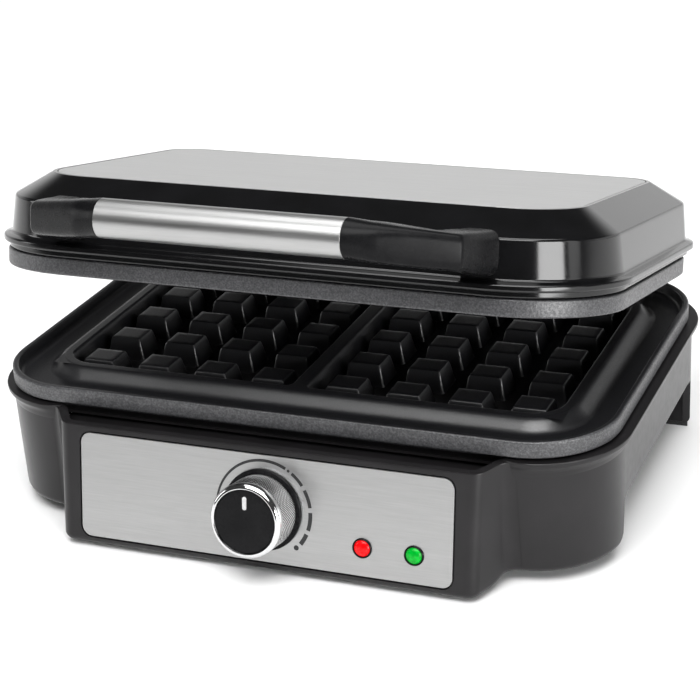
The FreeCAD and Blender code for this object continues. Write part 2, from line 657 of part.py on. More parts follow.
def handle_screws():
    shapes = []
    for x, z in HANDLE_SCREWS:
        inner_wall = LID_FRONT + WALL
        head = cylinder(3.0, V(x, inner_wall + 2.5, z), V(x, inner_wall + 0.05, z))
        shapes.append(head.fuse(cylinder(1.5, V(x, inner_wall + 0.05, z), V(x, LID_FRONT - SCREW_REACH, z))))
    return Part.makeCompound(shapes)


ARM_SCREWS = [(side * 93.3, z) for side in SIDES for z in (81.8, 88.2)]


def arm_screws():
    shapes = []
    seat = LID_REAR - WALL - 0.05
    for x, z in ARM_SCREWS:
        head = cylinder(3.0, V(x, seat - 2.5, z), V(x, seat, z))
        shapes.append(head.fuse(cylinder(1.4, V(x, seat, z), V(x, LID_REAR + 9, z))))
    return Part.makeCompound(shapes)


# ---- assembly -----------------------------------------------------------
LOWER_HEATER_Z = PARTING_Z - CAVITY_DEPTH - PLATE_T - HEATER_R - 0.1
UPPER_HEATER_Z = 2 * PARTING_Z + PLATE_GAP - LOWER_HEATER_Z

upper_plate = cooking_plate(UPPER_PLATE_X, UPPER_PLATE_R).mirror(V(0, 0, 0), Z_AXIS).translated(V(0, 0, PARTING_Z + PLATE_GAP))
right_arm = hinge_arm()
right_grip = handle_grip()
lid_wall_holes = [cylinder(1.4, V(x, LID_REAR - 9, z), V(x, LID_REAR + 21, z)) for x, z in ARM_SCREWS]
right_bracket = hinge_bracket().cut([cylinder(1.5, V(x, 90, z), V(x, 110, z))
                                     for x in ((EAR_X[1] + EAR_X[2]) / 2,) for z in (36.0, 44.0)])
bracket_holes = [cylinder(1.5, V(side * (EAR_X[1] + EAR_X[2]) / 2, 80, z),
                          V(side * (EAR_X[1] + EAR_X[2]) / 2, 110, z))
                 for side in SIDES for z in (36.0, 44.0)]
foot_pockets = [front_foot(side) for side in SIDES]
shield_holes = [cylinder(1.5, V(x, y, 34), V(x, y, 36)) for x, y in COVER_SCREWS]
plate_holes = [cylinder(1.5, V(x, y, POST_TOP_Z - 1), V(x, y, POST_TOP_Z + 2.0)) for x, y in PLATE_POSTS]
upper_plate_holes = [screw(x, y, PARTING_Z + PLATE_GAP + TROUGH_DEPTH - 1.5, 86.0, 1.5)
                     for x, y in PLATE_POSTS]

base_parts = {
    "base_housing": base_housing().cut(bracket_holes),
    "bottom_cover": bottom_cover().cut(foot_pockets),
    "cover_screws": cover_screws(),
    "cover_pillars": cover_pillars(),
    "lower_cooking_plate": cooking_plate(LOWER_PLATE_X, LOWER_PLATE_R).translated(V(0, 0, PARTING_Z)).cut(plate_holes),
    "lower_plate_screws": plate_screws(),
    "lower_heating_element": heater(LOWER_HEATER_Z),
    "lower_heat_shield": heat_shield(34.5, 1).cut(shield_holes),
    "front_feet": Part.makeCompound(foot_pockets),
    "rear_feet": Part.makeCompound([rear_foot(), mirrored(rear_foot())]),
    "cord_gland": cord_gland(),
    "terminal_block": terminal_block(),
    "thermal_fuse": thermal_fuse(),
    "control_panel": control_panel(),
    "thermostat": thermostat(),
    "knob_base_ring": knob_base_ring(),
    "red_lamp_lens": lamp_lens(LAMP_X[0]),
    "green_lamp_lens": lamp_lens(LAMP_X[1]),
    "lamp_bezels": lamp_bezels(),
    "lamp_holders": lamp_holders(),
    "hinge_bracket_right": right_bracket,
    "hinge_bracket_left": mirrored(right_bracket),
    "bracket_screws": bracket_screws(),
    "hinge_pins": hinge_pins(),
}

knob_parts = {
    "knob_body": knob_body(),
    "knob_bezel": knob_bezel(),
    "knob_cap": knob_cap(),
    "knob_pointer": knob_pointer(),
    "thermostat_shaft": thermostat_shaft(),
}

lid_parts = {
    "lid_housing": lid_housing().cut(lid_wall_holes),
    "lid_top_panel": lid_top_panel(),
    "lid_posts": lid_posts(),
    "upper_cooking_plate": upper_plate.cut(upper_plate_holes),
    "upper_plate_screws": lid_plate_screws(),
    "upper_heating_element": heater(UPPER_HEATER_Z),
    "upper_heat_shield": heat_shield(2 * PARTING_Z + PLATE_GAP - 34.5, -1),
    "handle_tube": handle_tube(),
    "handle_core": handle_core(),
    "handle_grip_right": right_grip,
    "handle_grip_left": mirrored(right_grip),
    "handle_screws": handle_screws(),
    "hinge_arm_right": right_arm.cut(lid_wall_holes),
    "hinge_arm_left": mirrored(right_arm).cut(lid_wall_holes),
    "hinge_arm_screws": arm_screws(),
}

for name, shape in lid_parts.items():
    opened = shape.copy()
    opened.rotate(V(0, HINGE_Y, HINGE_Z), X_AXIS, -REST_OPENING)
    lid_parts[name] = opened

os.makedirs("parts", exist_ok=True)
for name, shape in {**base_parts, **knob_parts, **lid_parts}.items():
    solids = shape.Solids
    if not solids or not shape.isValid():
        print("problem:", name, len(solids), "solids")
    shape.translate(V(0, -MIDDLE_Y, 0))
    shape.exportStep("parts/" + name + ".step")
    b = shape.BoundBox
    print("%-24s %2d  x %7.1f %7.1f  y %7.1f %7.1f  z %7.1f %7.1f" % (
        name, len(solids), b.XMin, b.XMax, b.YMin, b.YMax, b.ZMin, b.ZMax))
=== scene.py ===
import json
import math

import bmesh
import bpy
from mathutils import Matrix, Vector


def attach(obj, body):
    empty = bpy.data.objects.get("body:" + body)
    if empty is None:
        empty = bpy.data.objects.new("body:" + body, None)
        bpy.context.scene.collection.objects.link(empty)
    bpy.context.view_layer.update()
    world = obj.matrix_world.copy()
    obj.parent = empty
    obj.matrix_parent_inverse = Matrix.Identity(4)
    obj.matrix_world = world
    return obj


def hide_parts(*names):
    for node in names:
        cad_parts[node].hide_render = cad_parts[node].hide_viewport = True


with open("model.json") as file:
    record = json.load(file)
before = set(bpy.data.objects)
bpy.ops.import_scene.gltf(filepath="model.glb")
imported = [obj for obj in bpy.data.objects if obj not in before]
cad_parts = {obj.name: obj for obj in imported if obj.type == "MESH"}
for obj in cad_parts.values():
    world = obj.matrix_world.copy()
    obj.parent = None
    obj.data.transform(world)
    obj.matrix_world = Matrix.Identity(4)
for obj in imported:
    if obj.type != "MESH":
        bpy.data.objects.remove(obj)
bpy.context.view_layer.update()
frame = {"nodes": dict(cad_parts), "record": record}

# Twin waffle maker. Shapes are written in millimetres with Y = 0 at the middle of
# the cooking plates and the lid shut. at_base, at_lid and at_panel place them in the
# part's frame, in metres; at_lid also swings them up to the photograph's pose.

MIDDLE_Y = 4.8                      # from the frame's origin to the middle of the plates
HINGE_Y, HINGE_Z = 129.0, 78.8
OPEN = math.radians(13.1)           # the lid stands this far above shut
PANEL_FOOT = (-112.1, 5.9)          # Y and Z of the control panel's lower edge
LEAN = math.radians(11.0)
PANEL_X, PANEL_UP = 82.6, 45.1


# ---- placing ------------------------------------------------------------
def at_base(p):
    return Vector((p[0], p[1] - MIDDLE_Y, p[2])) / 1000


def at_lid(p):
    dy, dz = p[1] - HINGE_Y, p[2] - HINGE_Z
    y = HINGE_Y + dy * math.cos(OPEN) + dz * math.sin(OPEN)
    z = HINGE_Z - dy * math.sin(OPEN) + dz * math.cos(OPEN)
    return Vector((p[0], y - MIDDLE_Y, z)) / 1000


def at_panel(p):
    """p is (right, up the lean, outwards) from the middle of the panel's lower edge."""
    y = PANEL_FOOT[0] + p[1] * math.sin(LEAN) - p[2] * math.cos(LEAN)
    z = PANEL_FOOT[1] + p[1] * math.cos(LEAN) + p[2] * math.sin(LEAN)
    return at_base((p[0], y, z))


# ---- mesh code ----------------------------------------------------------
def smooth(t):
    t = min(max(t, 0.0), 1.0)
    return t * t * (3 - 2 * t)


def mix(a, b, t):
    return a + (b - a) * t


def blend_rings(a, b, t):
    return [tuple(mix(p, q, t) for p, q in zip(u, v)) for u, v in zip(a, b)]


def fillet(points, radii, arc=8, closed=True, side=()):
    """2D outline whose corners are tangent arcs, with extra points at fractions of each straight."""
    count = len(points)
    corners = []
    for i, (point, radius) in enumerate(zip(points, radii)):
        here = Vector(point)
        if not closed and i in (0, count - 1):
            corners.append([here])
            continue
        back = (Vector(points[i - 1]) - here).normalized()
        ahead = (Vector(points[(i + 1) % count]) - here).normalized()
        half = back.angle(ahead) / 2
        centre = here + (back + ahead).normalized() * (radius / math.sin(half))
        start = here + back * (radius / math.tan(half)) - centre
        end = here + ahead * (radius / math.tan(half)) - centre
        turn = start.angle_signed(end)
        corners.append([centre + Matrix.Rotation(-turn * k / arc, 2) @ start for k in range(arc + 1)])
    out = []
    for i, corner in enumerate(corners):
        out += [tuple(p) for p in corner]
        if closed or i < count - 1:
            following = corners[(i + 1) % count][0]
            out += [tuple(corner[-1].lerp(following, k)) for k in side]
    return out


def rectangle(half_x, y0, y1, front_r, rear_r, arc=14, side=()):
    points = [(-half_x, y0), (half_x, y0), (half_x, y1), (-half_x, y1)]
    return fillet(points, [front_r, front_r, rear_r, rear_r], arc, True, side)


def level(ring, z):
    return [(x, y, z) for x, y in ring]


def circle(centre, radius, count):
    turns = [2 * math.pi * k / count for k in range(count)]
    return [(centre[0] + radius * math.cos(a), centre[1] + radius * math.sin(a)) for a in turns]


def skin(rings, cap_first=False, cap_last=False, closed=True):
    """Quads between successive rings of equal point count."""
    count = len(rings[0])
    verts = [p for ring in rings for p in ring]
    faces = []
    for i in range(len(rings) - 1):
        for j in range(count if closed else count - 1):
            k = (j + 1) % count
            faces.append((i * count + j, i * count + k, (i + 1) * count + k, (i + 1) * count + j))
    if cap_first:
        faces.append(tuple(range(count)))
    if cap_last:
        faces.append(tuple(range((len(rings) - 1) * count, len(rings) * count)))
    return verts, faces


def revolve(profile, centre, segments=64):
    """Turns (radius, height) points about the height axis at centre."""
    return skin([level(circle(centre, radius, segments), height) for radius, height in profile])


def build(name, place, parts, sharp=32.0, weighted=True):
    """One object from (points, faces) parts in millimetres, smooth up to the sharp angle."""
    verts, faces = [], []
    for part_verts, part_faces in parts:
        base = len(verts)
        verts += [place(p) for p in part_verts]
        faces += [tuple(base + i for i in face) for face in part_faces]
    mesh = bpy.data.meshes.new(name)
    mesh.from_pydata(verts, [], faces)
    bm = bmesh.new()
    bm.from_mesh(mesh)
    bmesh.ops.remove_doubles(bm, verts=bm.verts, dist=2e-6)
    bmesh.ops.dissolve_degenerate(bm, edges=bm.edges, dist=1e-6)
    bmesh.ops.recalc_face_normals(bm, faces=bm.faces)
    bm.to_mesh(mesh)
    bm.free()
    obj = bpy.data.objects.new(name, mesh)
    bpy.context.scene.collection.objects.link(obj)
    finish_shading(obj, sharp, weighted)
    return obj


def finish_shading(obj, sharp, weighted):
    obj.data.shade_smooth()
    obj.data.set_sharp_from_angle(angle=math.radians(sharp))
    if weighted:
        normals = obj.modifiers.new("normals", "WEIGHTED_NORMAL")
        normals.keep_sharp = True


def dress(obj, body, slot, paint, *nodes):
    """Gives a piece its material, the body it rides on and the CAD nodes it stands for."""
    obj.data.materials.clear()
    obj.data.materials.append(paint)
    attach(obj, body)
    if nodes:
        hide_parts(*nodes)


def bake(obj):
    """Replaces the mesh by the result of its modifiers."""
    graph = bpy.context.evaluated_depsgraph_get()
    mesh = bpy.data.meshes.new_from_object(obj.evaluated_get(graph))
    obj.modifiers.clear()
    obj.data = mesh


def softened(node, width, body, slot, paint, segments=3):
    """A copy of a CAD node with its edges rounded."""
    mesh = frame["nodes"][node].data.copy()
    obj = bpy.data.objects.new(node + "_moulding", mesh)
    bpy.context.scene.collection.objects.link(obj)
    bm = bmesh.new()
    bm.from_mesh(mesh)
    bmesh.ops.remove_doubles(bm, verts=bm.verts, dist=1e-6)
    bmesh.ops.dissolve_limit(bm, angle_limit=math.radians(1.0), verts=bm.verts, edges=bm.edges)
    bm.to_mesh(mesh)
    bm.free()
    rounding = obj.modifiers.new("rounding", "BEVEL")
    rounding.width = width / 1000
    rounding.segments = segments
    rounding.limit_method = "ANGLE"
    rounding.angle_limit = math.radians(40)
    finish_shading(obj, 35.0, True)
    dress(obj, body, slot, paint, node)


# ---- knob sizes, which its material uses too -----------------------------
KNOB = (1.0, 22.1)
KNOB_R, KNOB_FACE_R, SKIRT_R = 15.5, 13.2, 15.4
KNURLS, KNURL_PITCH, KNURL_DEPTH = 68, 1.4, 0.42


# ---- materials ----------------------------------------------------------
class Paint:
    """Builds one node material around a Principled shader."""

    def __init__(self, name, **sockets):
        self.material = bpy.data.materials.new(name)
        self.material.use_nodes = True
        self.nodes = self.material.node_tree.nodes
        self.links = self.material.node_tree.links
        self.shader = self.nodes["Principled BSDF"]
        self.coords = self.nodes.new("ShaderNodeTexCoord").outputs["Object"]
        for socket, value in sockets.items():
            self.shader.inputs[socket.replace("_", " ")].default_value = value
        self.height = None

    def noise(self, scale, detail=2.0, stretch=(1, 1, 1), rough=0.5):
        mapping = self.nodes.new("ShaderNodeMapping")
        mapping.inputs["Scale"].default_value = stretch
        self.links.new(self.coords, mapping.inputs["Vector"])
        texture = self.nodes.new("ShaderNodeTexNoise")
        texture.inputs["Scale"].default_value = scale
        texture.inputs["Detail"].default_value = detail
        texture.inputs["Roughness"].default_value = rough
        self.links.new(mapping.outputs["Vector"], texture.inputs["Vector"])
        return texture.outputs["Fac"]

    def ramp(self, value, low, high, out_low, out_high):
        node = self.nodes.new("ShaderNodeMapRange")
        node.inputs["From Min"].default_value = low
        node.inputs["From Max"].default_value = high
        node.inputs["To Min"].default_value = out_low
        node.inputs["To Max"].default_value = out_high
        self.links.new(value, node.inputs["Value"])
        return node.outputs["Result"]

    def colours(self, value, low, high, dark, light):
        node = self.nodes.new("ShaderNodeValToRGB")
        node.color_ramp.elements[0].position = low
        node.color_ramp.elements[0].color = (*dark, 1)
        node.color_ramp.elements[1].position = high
        node.color_ramp.elements[1].color = (*light, 1)
        self.links.new(value, node.inputs["Fac"])
        self.links.new(node.outputs["Color"], self.shader.inputs["Base Color"])

    def roughness(self, value):
        self.links.new(value, self.shader.inputs["Roughness"])

    def bump(self, value, distance, strength=1.0):
        node = self.nodes.new("ShaderNodeBump")
        node.inputs["Distance"].default_value = distance
        node.inputs["Strength"].default_value = strength
        self.links.new(value, node.inputs["Height"])
        if self.height:
            self.links.new(self.height, node.inputs["Normal"])
        self.height = node.outputs["Normal"]
        self.links.new(self.height, self.shader.inputs["Normal"])


def gloss_black():
    paint = Paint("gloss_black_plastic", Specular_IOR_Level=0.48)
    wear = paint.noise(60.0, 3.0)
    paint.colours(wear, 0.3, 0.7, (0.0028, 0.0028, 0.003), (0.0045, 0.0045, 0.005))
    paint.roughness(paint.ramp(paint.noise(220.0, 2.0), 0.3, 0.7, 0.105, 0.135))
    paint.bump(paint.noise(35.0, 1.0), 0.00010, 0.15)
    return paint.material


def satin_black():
    paint = Paint("satin_black_plastic", Specular_IOR_Level=0.09)
    paint.colours(paint.noise(90.0, 4.0), 0.3, 0.7, (0.0045, 0.0045, 0.005), (0.008, 0.008, 0.0085))
    paint.roughness(paint.ramp(paint.noise(400.0, 3.0), 0.3, 0.7, 0.24, 0.32))
    paint.bump(paint.noise(3200.0, 2.0), 0.00003, 0.4)
    return paint.material


def body_black():
    paint = Paint("body_black_plastic", Specular_IOR_Level=0.30)
    paint.colours(paint.noise(70.0, 4.0), 0.3, 0.7, (0.0095, 0.009, 0.0095), (0.013, 0.012, 0.013))
    paint.roughness(paint.ramp(paint.noise(260.0, 2.0), 0.3, 0.7, 0.28, 0.32))
    paint.bump(paint.noise(1800.0, 1.0), 0.000004, 0.2)
    return paint.material


def nonstick():
    paint = Paint("nonstick_coat", Specular_IOR_Level=0.85)
    speck = paint.noise(1500.0, 3.0, rough=0.7)
    paint.colours(speck, 0.35, 0.75, (0.005, 0.005, 0.006), (0.016, 0.016, 0.018))
    paint.roughness(paint.ramp(speck, 0.35, 0.7, 0.40, 0.28))
    paint.bump(paint.noise(1100.0, 3.0), 0.00004, 0.35)
    return paint.material


def cast_rim():
    paint = Paint("cast_rim_coat", Specular_IOR_Level=0.8)
    speck = paint.noise(1300.0, 4.0, rough=0.7)
    paint.colours(speck, 0.42, 0.72, (0.014, 0.014, 0.016), (0.095, 0.095, 0.10))
    paint.roughness(paint.ramp(speck, 0.35, 0.7, 0.50, 0.30))
    paint.bump(paint.noise(900.0, 4.0), 0.00016, 0.8)
    return paint.material


def brushed_steel(name, tone):
    """Steel brushed along X: fine and broad streaks in the shade, the gloss and the surface."""
    paint = Paint(name, Metallic=1.0)
    fine = paint.noise(2400.0, 3.0, (0.010, 1, 1))
    broad = paint.noise(1700.0, 5.0, (0.035, 1, 1), 0.7)
    dark = (tone * 0.91, tone * 0.91, tone * 0.905)
    light = (tone * 1.06, tone * 1.06, tone * 1.055)
    paint.colours(broad, 0.25, 0.75, dark, light)
    paint.roughness(paint.ramp(fine, 0.3, 0.7, 0.30, 0.42))
    paint.bump(fine, 0.00002, 0.35)
    return paint.material


def chrome(name, tone, rough):
    paint = Paint(name, Metallic=1.0)
    light = (tone * 1.05, tone * 1.05, tone * 1.06)
    paint.colours(paint.noise(300.0, 3.0), 0.3, 0.7, (tone * 0.95,) * 3, light)
    paint.roughness(paint.ramp(paint.noise(900.0, 3.0), 0.3, 0.7, rough, rough + 0.07))
    return paint.material


def knurled_chrome():
    """Painted highlight on the crests of the knurl and painted shade in its grooves, by distance from the
    knob's axis.
    """
    paint = Paint("knurled_chrome", Metallic=1.0)
    upright = LEAN - math.pi / 2
    centre = Matrix.Rotation(upright, 3, "X") @ at_panel((*KNOB, 0))
    turned = paint.nodes.new("ShaderNodeMapping")
    turned.inputs["Rotation"].default_value = (upright, 0, 0)
    turned.inputs["Location"].default_value = -centre
    paint.links.new(paint.coords, turned.inputs["Vector"])
    flat = paint.nodes.new("ShaderNodeVectorMath")
    flat.operation = "MULTIPLY"
    flat.inputs[1].default_value = (1, 1, 0)
    paint.links.new(turned.outputs["Vector"], flat.inputs[0])
    length = paint.nodes.new("ShaderNodeVectorMath")
    length.operation = "LENGTH"
    paint.links.new(flat.outputs["Vector"], length.inputs[0])
    groove, crest = (KNOB_R - 0.42) / 1000, (KNOB_R - 0.22) / 1000
    knurl_shade_and_highlight = paint.ramp(length.outputs["Value"], groove, crest, 0.0, 1.0)
    # painted shade near black in the grooves, painted highlight near white on the crests
    paint.colours(knurl_shade_and_highlight, 0.15, 0.85, (0.01, 0.01, 0.01), (0.95, 0.95, 0.96))
    paint.roughness(paint.ramp(paint.noise(900.0, 3.0), 0.3, 0.7, 0.18, 0.26))
    return paint.material


def zinc():
    paint = Paint("zinc_plate", Metallic=1.0)
    paint.colours(paint.noise(500.0, 4.0), 0.3, 0.7, (0.42, 0.42, 0.41), (0.60, 0.60, 0.58))
    paint.roughness(paint.ramp(paint.noise(900.0, 3.0), 0.3, 0.7, 0.30, 0.46))
    paint.bump(paint.noise(1800.0, 2.0), 0.00002, 0.4)
    return paint.material


def heater_tube():
    paint = Paint("heat_darkened_tube", Metallic=0.8)
    paint.colours(paint.noise(160.0, 4.0), 0.3, 0.7, (0.10, 0.09, 0.08), (0.24, 0.21, 0.18))
    paint.roughness(paint.ramp(paint.noise(700.0, 3.0), 0.3, 0.7, 0.45, 0.62))
    return paint.material


def plain_plastic():
    paint = Paint("pale_inner_plastic")
    paint.colours(paint.noise(200.0, 3.0), 0.3, 0.7, (0.52, 0.50, 0.46), (0.62, 0.60, 0.56))
    paint.roughness(paint.ramp(paint.noise(600.0, 3.0), 0.3, 0.7, 0.45, 0.6))
    return paint.material


def rubber():
    paint = Paint("foot_rubber")
    paint.colours(paint.noise(300.0, 4.0), 0.3, 0.7, (0.014, 0.014, 0.014), (0.028, 0.028, 0.028))
    paint.roughness(paint.ramp(paint.noise(900.0, 3.0), 0.3, 0.7, 0.7, 0.9))
    paint.bump(paint.noise(2200.0, 3.0), 0.00006, 0.5)
    return paint.material


def lens(name, dark, light):
    paint = Paint(name, Specular_IOR_Level=0.2, Emission_Color=(*light, 1), Emission_Strength=0.35)
    paint.colours(paint.noise(500.0, 2.0), 0.35, 0.65, dark, light)
    paint.roughness(paint.ramp(paint.noise(1500.0, 2.0), 0.3, 0.7, 0.14, 0.24))
    paint.bump(paint.noise(1200.0, 1.0), 0.00004, 0.3)
    return paint.material


def white_ink():
    paint = Paint("white_marking")
    paint.colours(paint.noise(900.0, 3.0), 0.3, 0.7, (0.46, 0.46, 0.46), (0.54, 0.54, 0.54))
    paint.roughness(paint.ramp(paint.noise(1200.0, 2.0), 0.3, 0.7, 0.4, 0.5))
    return paint.material


def dark_ink():
    paint = Paint("dark_marking")
    paint.colours(paint.noise(900.0, 3.0), 0.3, 0.7, (0.010, 0.010, 0.011), (0.018, 0.018, 0.019))
    paint.roughness(paint.ramp(paint.noise(1200.0, 2.0), 0.3, 0.7, 0.4, 0.5))
    return paint.material


GLOSS = gloss_black()
SATIN = satin_black()
BODY = body_black()
NONSTICK = nonstick()
CAST = cast_rim()
# one brushed steel in three copies: the front panel's and the tube's lower tones are painted shade, darker
# than the lid panel's
PANEL_STEEL = brushed_steel("brushed_lid_steel", 0.60)
FRONT_STEEL_SHADED = brushed_steel("brushed_front_steel_painted_shade", 0.45)
TUBE_STEEL_SHADED = brushed_steel("brushed_tube_steel_painted_shade", 0.42)
CHROME = chrome("polished_chrome", 0.68, 0.06)
KNURL = knurled_chrome()
ZINC = zinc()
HEATER = heater_tube()
PALE = plain_plastic()
RUBBER = rubber()
RED = lens("red_lens", (0.55, 0.001, 0.002), (0.80, 0.004, 0.006))
GREEN = lens("green_lens", (0.0, 0.20, 0.012), (0.0, 0.36, 0.025))
WHITE_INK = white_ink()
DARK_INK = dark_ink()


# ---- base ---------------------------------------------------------------
FOOT_Z, LOBE_Z, ARCH_Z, LIP_Z = 2.0, 4.8, 23.6, 54.8
BASE_X, BASE_FRONT, BASE_REAR = 137.5, -91.5, 94.5      # at the lip
FOOT_X, FOOT_FRONT = 136.9, -90.6
BODY_R = 36.0
WALL, EDGE_R = 3.4, 3.2
CONSOLE_X, CONSOLE_TOP_Z, LOBE_TOP_Z = 91.5, 53.2, 54.3
LIP_END_X = 98.5
LOBE_BACK_Y = -55.0                                     # back of the two front lobes
LEG_FRONT_Y, LEG_X = 66.0, 110.0                        # front and inner side of the rear legs
ARCH_R = 6.0
SIDE_STEPS = (0.005, 0.01, 0.02, 0.03, 0.04, 0.05, 0.065, 0.09,
              0.15, 0.3, 0.5, 0.7, 0.85, 0.93, 0.97, 0.99)


def base_ring(z, inset=0.0):
    """Plan of the base at height z: a rounded body with the console block in front."""
    rise = (z - FOOT_Z) / (LIP_Z - FOOT_Z)
    half_x = mix(FOOT_X, BASE_X, rise) - inset
    front = mix(FOOT_FRONT, BASE_FRONT, rise) + inset
    face = PANEL_FOOT[0] + (z - PANEL_FOOT[1]) * math.tan(LEAN) + inset
    console = CONSOLE_X - inset * 0.7
    right = [(console, face), (console + 8.5, front), (half_x, front), (half_x, BASE_REAR - inset)]
    points = right + [(-x, y) for x, y in reversed(right)]
    radii = [6.0 - inset * 0.5, 7.0 + inset * 0.5, BODY_R - inset, BODY_R - inset]
    return fillet(points, radii + radii[::-1], 36, True, SIDE_STEPS)


def round_in(distance, radius):
    """Rise of a rounded inner corner, 0 at its end and radius at the corner's wall."""
    distance = min(max(distance, 0.0), radius)
    return radius - math.sqrt(radius * radius - distance * distance)


def foot_height(x, y):
    """Height of the base's lower edge above the table at a point of its plan."""
    side = abs(x)
    if y > LEG_FRONT_Y and side > LEG_X:
        return FOOT_Z
    if y < LOBE_BACK_Y:
        lobe = mix(FOOT_Z, LOBE_Z, smooth((y + 101) / 9))
        return lobe + round_in(y - LOBE_BACK_Y + ARCH_R, ARCH_R)
    if y < LOBE_BACK_Y + ARCH_R:
        return ARCH_Z - round_in(LOBE_BACK_Y + ARCH_R - y, ARCH_R)
    if side > LEG_X:
        return ARCH_Z - round_in(y - LEG_FRONT_Y + ARCH_R, ARCH_R)
    return ARCH_Z - round_in(side - LEG_X + ARCH_R, ARCH_R)


def top_height(x, y):
    """Top of the base wall: level on the console, rising along its flanks to the lip."""
    if y > -88:
        return CONSOLE_TOP_Z
    return mix(CONSOLE_TOP_Z, LOBE_TOP_Z, smooth((abs(x) - CONSOLE_X - 1.0) / 7.5))


def base_skin():
    """Wall of the base: out at its shaped lower edge, up to the top, over it and down inside."""
    sample_z, sample_inset = 60.0, 4.0
    outer = [base_ring(0.0), base_ring(sample_z)]
    inner = [base_ring(0.0, sample_inset), base_ring(sample_z, sample_inset)]
    middle = blend_rings(outer[0], outer[1], 0.3)
    spans = [(foot_height(*p), top_height(*p)) for p in middle]

    def column(j, z, inset):
        a = [mix(outer[0][j][k], outer[1][j][k], z / sample_z) for k in range(2)]
        b = [mix(inner[0][j][k], inner[1][j][k], z / sample_z) for k in range(2)]
        return (mix(a[0], b[0], inset / sample_inset), mix(a[1], b[1], inset / sample_inset), z)

    rings = []
    for k in range(7):
        turn = math.pi / 2 * k / 6
        lift, inset = EDGE_R * (1 - math.cos(turn)), EDGE_R * (1 - math.sin(turn))
        rings.append([column(j, foot + lift, inset) for j, (foot, _) in enumerate(spans)])
    for share in (0.15, 0.35, 0.55, 0.75, 0.9, 1.0):
        rings.append([column(j, mix(foot + EDGE_R, top - 0.5, share), 0.0)
                      for j, (foot, top) in enumerate(spans)])
    for drop, inset in ((0.2, 0.12), (0.0, 0.5), (0.0, WALL - 0.3), (0.3, WALL)):
        rings.append([column(j, top - drop, inset) for j, (_, top) in enumerate(spans)])
    for share in (0.9, 0.6, 0.3, 0.0):
        rings.append([column(j, mix(foot + 0.3, top, share), WALL)
                      for j, (foot, top) in enumerate(spans)])
    return skin(rings + rings[:1])


def lip_strip():
    """Flared band round the top of the base, fading out at the console's flanks."""
    profile = [(-5.0, 50.0), (-5.0, 54.5), (-4.7, 54.78), (2.5, 54.78), (2.85, 54.6), (2.98, 54.3),
               (2.9, 53.1), (2.6, 52.6), (1.7, 51.8), (0.9, 50.9), (0.4, 49.9), (0.1, 48.6), (-0.6, 47.4)]

    def path(grow):
        half_x, front, rear = BASE_X + grow, BASE_FRONT - grow * 0.5, BASE_REAR + grow * 0.5
        corner = BODY_R + grow * 0.75
        right = [(LIP_END_X, front), (half_x, front), (half_x, rear)]
        points = right + [(-x, y) for x, y in reversed(right)]
        return fillet(points, [0, corner, corner, corner, corner, 0], 30, False, (0.2, 0.4, 0.6, 0.8))

    near, far = path(0.0), path(1.0)
    rings = []
    for grow, z in profile:
        ring = []
        for a, b in zip(near, far):
            fade = smooth((abs(a[0]) - LIP_END_X) / 9) if a[1] < 0 else 1.0
            reach = mix(min(grow, 0.25), grow, fade)
            ring.append((mix(a[0], b[0], reach), mix(a[1], b[1], reach), z))
        rings.append(ring)
    verts, faces = skin(rings, closed=False)
    count = len(rings[0])
    for end in (0, count - 1):
        faces.append(tuple(i * count + end for i in range(len(rings))))
    return verts, faces


def rounded_block(half_x, y0, y1, corner, z0, z1, edge=0.8, arc=8, centre=(0.0, 0.0)):
    """Upright block with rounded plan corners and rounded top and bottom edges."""
    rings = []
    for k in range(5):
        a = math.pi / 2 * k / 4
        rings.append((edge * (1 - math.sin(a)), z0 + edge * (1 - math.cos(a))))
    rings += [(inset, z0 + z1 - z) for inset, z in reversed(rings)]
    made = []
    for inset, z in rings:
        plan_r = max(corner - inset, 0.05)
        ring = rectangle(half_x - inset, y0 + inset, y1 - inset, plan_r, plan_r, arc)
        made.append([(x + centre[0], y + centre[1], z) for x, y in ring])
    return skin(made, True, True)


def make_base():
    shell = build("base_shell", at_base, [base_skin()], weighted=False)
    gap = 0.7
    block = rounded_block(PANEL_X + gap, -gap, PANEL_UP + gap, 5.2, -1.2, 6.0, 0.01)
    recess = build("recess_cutter", at_panel, [block], weighted=False)
    cut = shell.modifiers.new("recess", "BOOLEAN")
    cut.operation = "DIFFERENCE"
    cut.solver = "EXACT"
    cut.object = recess
    bpy.context.view_layer.update()
    bake(shell)
    bpy.data.objects.remove(recess)
    finish_shading(shell, 30.0, True)
    dress(shell, "base", "gloss_black", BODY, "base_housing")
    dress(build("base_lip", at_base, [lip_strip()]), "base", "gloss_black", BODY)
    shelf = [(89.0, -101.8), (97.3, -90), (97.3, -84), (-97.3, -84), (-97.3, -90), (-89.0, -101.8)]
    deck = rectangle(BASE_X - 3.5, BASE_FRONT + 3.5, BASE_REAR - 3.5, 33, 33)
    floors = [skin([level(shelf, 46.0), level(shelf, 48.6)], True, True),
              skin([level(deck, 50.5), level(deck, 51.5)], True, True)]
    dress(build("console_shelf", at_base, floors), "base", "gloss_black", BODY)
    webs = []
    low, high = 2.4, 27.0
    for side in (-1, 1):
        for half_x, x, back in ((12.2, 122.4, 68.6), (1.3, 111.4, 91.8)):
            webs.append(rounded_block(half_x, LEG_FRONT_Y, back, 0.4, low, high, 0.3, 4, (side * x, 0.0)))
    dress(build("base_leg_webs", at_base, webs), "base", "gloss_black", BODY)


